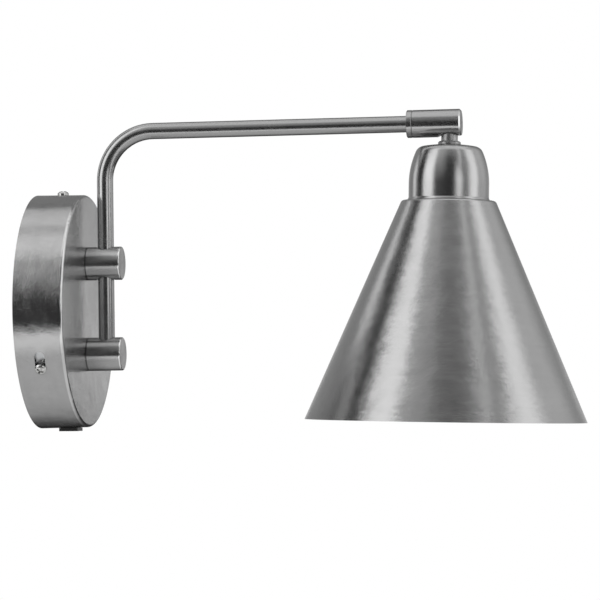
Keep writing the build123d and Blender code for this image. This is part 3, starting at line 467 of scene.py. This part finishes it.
def turned_metal(name, level, centre, axis, roughness=0.24, anisotropy=0.7, smudges=0.0, flecks=0.5,
                 waves=0.5, jitter=0.03, root=None, ends=None, end_shade_tone=0.72, edge=None, highlight_tone=1.45,
                 inside=None):
    """Spun or turned metal: faint lines round its axis, fine flecks and slightly wavy reflections.

    root and ends are places along the axis: before the one the metal is darkened with painted shade, beyond
    the other the end face takes the end tone, also painted shade. edge is a ring of painted highlight (place,
    radius, width). inside is the tone of a shell's inner face, painted shade where it is below 1.
    """
    material, n = new_material(name)
    lathe = Lathe(n, centre, axis)
    marks = LatheMarks(n, lathe)
    tone = n.total(
        n.spread(marks.fine, -LINE_TONE, LINE_TONE), n.spread(marks.cloud, -CLOUD_TONE, CLOUD_TONE),
        n.spread(marks.broad, -LINE_TONE, LINE_TONE), n.spread(marks.smudge, -smudges, smudges), 1.0,
    )
    shade = n.math("MULTIPLY", tone, level)
    rough = n.total(
        n.spread(marks.fine, -LINE_ROUGHNESS, LINE_ROUGHNESS),
        n.spread(marks.cloud, roughness - CLOUD_ROUGHNESS, roughness + CLOUD_ROUGHNESS),
        n.spread(marks.smudge, -smudges, smudges),
    )
    # Painted shade: the metal is darker before the root place, where the part meets the one behind it.
    if root is not None:
        before = n.math("LESS_THAN", lathe.along, root)
        shade = n.math("MULTIPLY", shade, n.spread(before, 1.0, ROOT_SHADE_TONE))
    # Painted shade: the end face beyond the ends place is darker.
    if ends is not None:
        shaded_end = n.math("GREATER_THAN", lathe.along, ends)
        shade = n.math("MULTIPLY", shade, n.spread(shaded_end, 1.0, end_shade_tone))
    # Painted highlight: a brighter ring round the given edge, where the metal is also smoother.
    if edge is not None:
        edge_highlight = painted_highlight_share(n, lathe, marks, edge)
        shade = n.math("MULTIPLY", shade, n.spread(edge_highlight, 1.0, highlight_tone))
        rough = n.math("MULTIPLY", rough, n.spread(edge_highlight, 1.0, HIGHLIGHT_ROUGHNESS))
    # The inner face of a shell takes its own tone and is rougher; a tone below 1 is painted shade.
    if inside is not None:
        outward = n.vector("ADD", lathe.around, lathe.axis)
        facing = n.vector("DOT_PRODUCT", lathe.own.outputs["Normal"], outward)
        hidden = n.math("LESS_THAN", facing, 0.0)
        shade = n.math("MULTIPLY", shade, n.spread(hidden, 1.0, inside))
        rough = n.math("MAXIMUM", rough, n.math("MULTIPLY", hidden, INSIDE_ROUGHNESS))
    tangent = lathe.tangent()
    n.finish(n.add("ShaderNodeBsdfPrincipled", {
        "Base Color": n.colour(shade, shade, shade), "Metallic": 1.0, "Roughness": rough,
        "Anisotropic": anisotropy, "Anisotropic Rotation": BRUSHED_ROTATION,
        "Normal": lathe_bump(n, lathe, marks, tangent, smudges, flecks, waves, jitter), "Tangent": tangent,
    }))
    return material


# ------------------------------------------------------------------ other metals and plastics
METAL_MOTTLE_SCALE = 900.0
METAL_CLOUD_SCALE = 120.0
METAL_ROUGHNESS = (-0.06, 0.08)
# How squarely a face must look sideways to count as a cut edge, which gets painted shade.
CUT_EDGE_FACING = 0.7
PLASTIC_GRIT_SCALE = 2600.0
PLASTIC_CLOUD_SCALE = 90.0
PLASTIC_ROUGHNESS = (-0.05, 0.05)
PLASTIC_GRIT_STRENGTH = 0.15
PLASTIC_GRIT_DEPTH = 0.00005


def mottled(n, spots, cloud, grain):
    """The tone that gives a colour its spots and clouds, grain being how strong they are."""
    return n.total(n.spread(spots, 1 - grain, 1 + grain), n.spread(cloud, -grain, grain))


def tinted(n, tone, colour):
    return n.colour(*[n.math("MULTIPLY", tone, channel) for channel in colour])


def plain_metal(name, colour, roughness, grain=0.08, cut_edge_shade=None):
    """Plated or drawn metal with fine mottling. A plate pressed flat across X gets painted shade on its cut
    edges.
    """
    material, n = new_material(name)
    own = n.add("ShaderNodeTexCoord")
    place = own.outputs["Object"]
    mottle = n.noise(n.scaled(place, METAL_MOTTLE_SCALE), detail=3.0)
    cloud = n.noise(n.scaled(place, METAL_CLOUD_SCALE), detail=2.0)
    tone = mottled(n, mottle, cloud, grain)
    # Painted shade: faces turned sideways to X, the cut edges, are darker.
    if cut_edge_shade is not None:
        sideways = n.vector("NORMALIZE", n.vector("CROSS_PRODUCT", X_AXIS, place))
        facing = n.math("ABSOLUTE", n.vector("DOT_PRODUCT", own.outputs["Normal"], sideways))
        shaded_cut = n.math("GREATER_THAN", facing, CUT_EDGE_FACING)
        tone = n.math("MULTIPLY", tone, n.spread(shaded_cut, 1.0, cut_edge_shade))
    smoother, rougher = METAL_ROUGHNESS
    n.finish(n.add("ShaderNodeBsdfPrincipled", {
        "Base Color": tinted(n, tone, colour), "Metallic": 1.0,
        "Roughness": n.spread(cloud, roughness + smoother, roughness + rougher),
    }))
    return material


def moulded(name, colour, roughness, grain=0.06):
    """Moulded plastic, rubber or glass with a fine grain."""
    material, n = new_material(name)
    place = n.add("ShaderNodeTexCoord").outputs["Object"]
    grit = n.noise(n.scaled(place, PLASTIC_GRIT_SCALE), detail=2.0)
    cloud = n.noise(n.scaled(place, PLASTIC_CLOUD_SCALE), detail=3.0)
    smoother, rougher = PLASTIC_ROUGHNESS
    n.finish(n.add("ShaderNodeBsdfPrincipled", {
        "Base Color": tinted(n, mottled(n, grit, cloud, grain), colour),
        "Roughness": n.spread(cloud, roughness + smoother, roughness + rougher),
        "Normal": n.bump(grit, PLASTIC_GRIT_STRENGTH, PLASTIC_GRIT_DEPTH),
    }))
    return material


# ------------------------------------------------------------------ the lamp's own pieces
HEAD_LEAN = radians(1.6)
HEAD_TOP = Vector(joints["head_roll"]["pos_m"])
HEAD_AXIS = Vector((sin(HEAD_LEAN), 0.0, cos(HEAD_LEAN)))
STEEL = 0.43
COVER_STEEL = 0.45
NECK_STEEL = 0.38
ZINC = (0.66, 0.67, 0.68)
# How far inside a piece's end and rim its ring of painted highlight lies, and the ring's width, in metres
COVER_HIGHLIGHT = (0.0005, 0.0006, 0.0018)
BOSS_HIGHLIGHT = (0.0003, 0.0003, 0.0009)
BARREL_HIGHLIGHT = (0.0005, 0.0005, 0.0009)
# Depth of the end face's painted shade, and of the line of painted shade where a boss meets the cover
END_SHADE_DEPTH = 0.0002
BOSS_ROOT_SHADE = 0.0004


def dress(material, *names):
    for name in names:
        mesh = nodes[name].data
        mesh.materials.clear()
        mesh.materials.append(material)


def highlight_ring(end, rim, edge):
    """The ring of painted highlight just inside a round piece's end and rim, as (place along the axis,
    radius, width).
    """
    inset_along, inset_radius, width = edge
    return (end - inset_along, rim - inset_radius, width)


def dress_cover():
    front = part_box("canopy_cover")[1]
    # The cover: a painted highlight round its front rim, and painted shade on its inside.
    dress(turned_metal(
        "cover_metal", COVER_STEEL, (0.0, 0.0, 0.0), X_AXIS, roughness=0.17, smudges=0.10, flecks=1.2,
        waves=0.8, edge=highlight_ring(front.x, front.y, COVER_HIGHLIGHT), highlight_tone=1.5, inside=0.5,
    ), "canopy_cover")
    for name in ("boss_upper", "boss_lower"):
        low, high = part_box(name)
        middle = (low + high) / 2
        half = (high.x - low.x) / 2
        rim = (high.z - low.z) / 2
        # Each boss: painted shade where it meets the cover and on its end face, and a painted highlight round
        # its end's rim.
        dress(turned_metal(
            name + "_metal", STEEL, middle, X_AXIS, root=front.x - middle.x + BOSS_ROOT_SHADE, ends=half - END_SHADE_DEPTH,
            edge=highlight_ring(half, rim, BOSS_HIGHLIGHT), highlight_tone=2.0,
        ), name)


def dress_arm():
    dress(plain_metal("tube_metal", (STEEL, STEEL, STEEL), 0.24, grain=0.03), "arm_tube")
    low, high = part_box("swivel_barrel")
    rim = (high.y - low.y) / 2
    # The barrel and gland ring: painted shade on the end face and a painted highlight round the end's rim.
    dress(turned_metal(
        "barrel_metal", STEEL, (0.0, 0.0, HEAD_TOP.z), X_AXIS, roughness=0.22, ends=high.x - END_SHADE_DEPTH,
        end_shade_tone=0.6, edge=highlight_ring(high.x, rim, BARREL_HIGHLIGHT), highlight_tone=1.7,
    ), "gland_ring", "swivel_barrel")


def dress_head():
    neck = turned_metal("neck_metal", NECK_STEEL, HEAD_TOP, HEAD_AXIS, roughness=0.42, anisotropy=0.0)
    dress(neck, "neck_nipple", "neck_washer")
    # The cup's inside is darker, painted shade; the shade's inside is lighter.
    dress(turned_metal("cup_metal", STEEL, HEAD_TOP, HEAD_AXIS, inside=0.6), "holder_cup")
    spun = turned_metal("shade_metal", STEEL, HEAD_TOP, HEAD_AXIS, flecks=0.8, jitter=0.045, inside=1.1)
    dress(spun, "shade")


def dress_small_metal():
    dress(plain_metal("screw_metal", (0.62, 0.62, 0.61), 0.25), "cover_screws")
    dress(plain_metal("bracket_zinc", ZINC, 0.34, cut_edge_shade=0.3), "wall_bracket")
    dress(plain_metal("zinc", ZINC, 0.34), "boss_washers", "boss_nuts", "swing_grub_screw", "earth_screw",
          "swivel_nut", "nipple_locknut", "terminal_fixing_screw", "wave_washer")
    dress(plain_metal("brass", (0.75, 0.57, 0.28), 0.3), "terminal_screws", "earth_tag",
          "switch_terminals", "holder_shell", "holder_contact", "bulb_contact")
    dress(plain_metal("cap_metal", (0.78, 0.78, 0.79), 0.25), "bulb_cap")


def dress_mouldings():
    dress(moulded("black_plastic", (0.018, 0.018, 0.018), 0.34), "switch_housing", "switch_rocker",
          "holder_cap", "holder_skirt", "shade_ring", "bulb_insulator")
    dress(moulded("ceramic_insert", (0.72, 0.70, 0.64), 0.5), "holder_insert")
    dress(moulded("nylon", (0.80, 0.79, 0.74), 0.45), "upper_bush", "lower_bush", "friction_washers",
          "terminal_block")
    dress(moulded("rubber", (0.03, 0.03, 0.03), 0.6), "cable_grommet")
    dress(moulded("opal_glass", (0.90, 0.90, 0.88), 0.18, grain=0.01), "bulb_glass")


def dress_wires():
    dress(moulded("brown_wire", (0.20, 0.09, 0.04), 0.4), "live_lead", "switched_lead")
    dress(moulded("blue_wire", (0.05, 0.16, 0.45), 0.4), "neutral_lead")
    dress(moulded("green_wire", (0.12, 0.36, 0.08), 0.4), "earth_lead")
    dress(moulded("white_flex", (0.80, 0.80, 0.78), 0.45), "canopy_flex", "arm_flex", "head_flex")


make_camera()
make_studio()
dress_cover()
dress_arm()
dress_head()
dress_small_metal()
dress_mouldings()
dress_wires()
